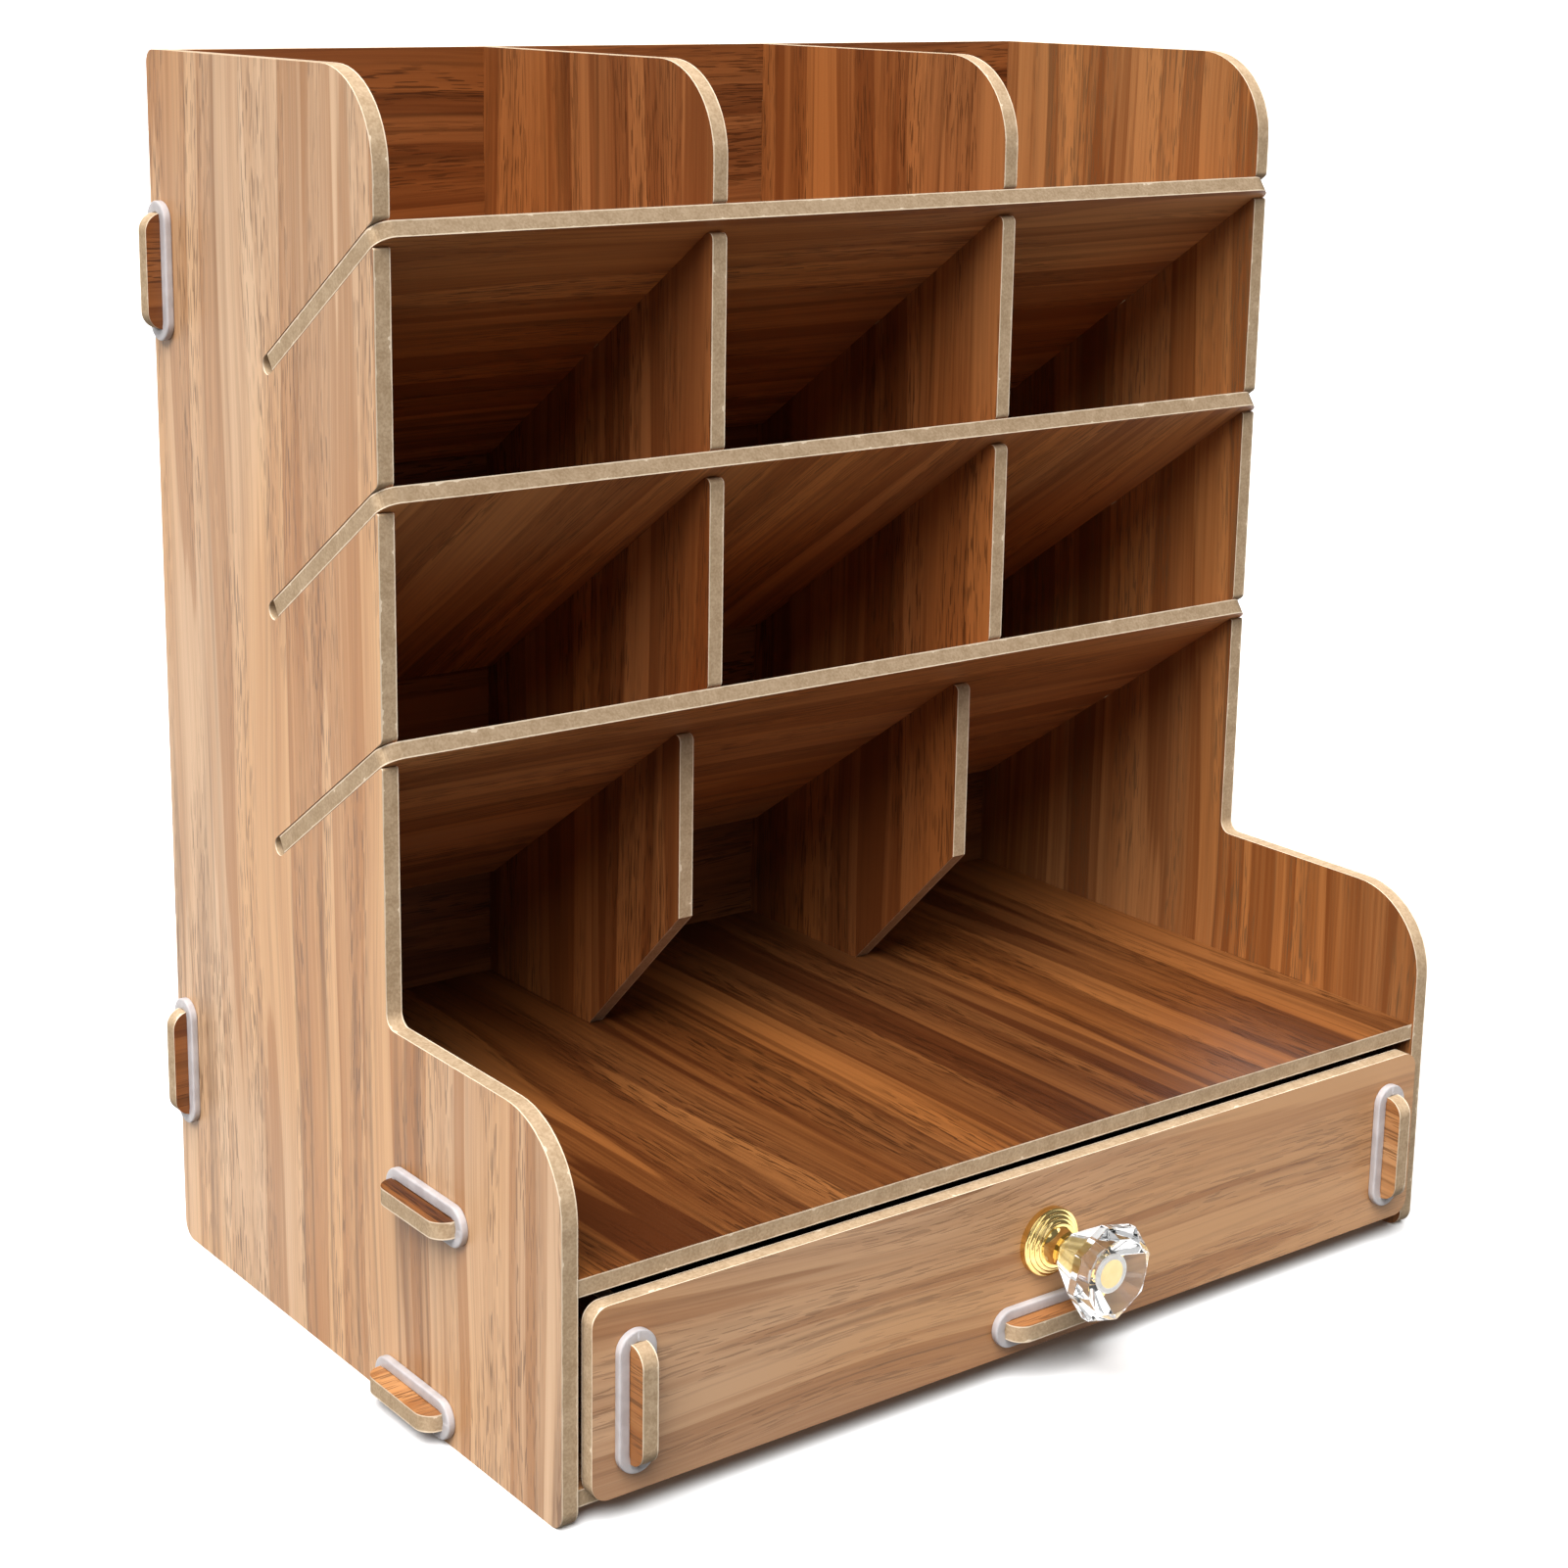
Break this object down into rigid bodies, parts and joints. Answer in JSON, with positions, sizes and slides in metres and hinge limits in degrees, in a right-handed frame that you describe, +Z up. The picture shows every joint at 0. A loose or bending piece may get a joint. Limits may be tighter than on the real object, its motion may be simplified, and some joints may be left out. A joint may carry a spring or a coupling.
{
  "type": "desk organizer",
  "caption": "Desk organizer of thin wood-grain boards with sloped pen shelves, upright dividers, an open front tray and a drawer with a clear faceted knob.",
  "frame": {"origin": "middle of the footprint of the whole part, on the surface it stands on, drawer shut", "axes": "+Z up, +Y from the drawer front towards the back panel, +X to the right seen from the front"},
  "size_m": [0.26, 0.191, 0.28],
  "materials": {
    "laminate": "satin wood-grain print on board",
    "silicone": "milky translucent silicone",
    "gold": "polished gold",
    "crystal": "clear faceted",
    "steel": "plain zinc"
  },
  "bodies": {
    "frame": {"left_side_panel": "laminate", "right_side_panel": "laminate", "back_panel": "laminate", "tray_panel": "laminate", "base_panel": "laminate", "left_divider": "laminate", "right_divider": "laminate", "upper_shelf": "laminate", "middle_shelf": "laminate", "lower_shelf": "laminate", "left_upper_back_ring": "silicone", "left_lower_back_ring": "silicone", "left_tray_ring": "silicone", "left_base_ring": "silicone", "right_upper_back_ring": "silicone", "right_lower_back_ring": "silicone", "right_tray_ring": "silicone", "right_base_ring": "silicone"},
    "drawer": {"drawer_front": "laminate", "drawer_left_side": "laminate", "drawer_right_side": "laminate", "drawer_bottom": "laminate", "drawer_back": "laminate", "drawer_left_side_ring": "silicone", "drawer_right_side_ring": "silicone", "drawer_front_left_ring": "silicone", "drawer_front_right_ring": "silicone", "drawer_back_left_ring": "silicone", "drawer_back_right_ring": "silicone", "drawer_front_bottom_ring": "silicone", "knob_rose": "gold", "knob_crystal": "crystal", "knob_screw": "steel", "knob_washer": "steel"}
  },
  "joints": [
    {"name": "drawer_slide", "type": "slide", "parent": "frame", "child": "drawer", "axis": [0, -1, 0], "range_m": [0, 0.115]}
  ]
}
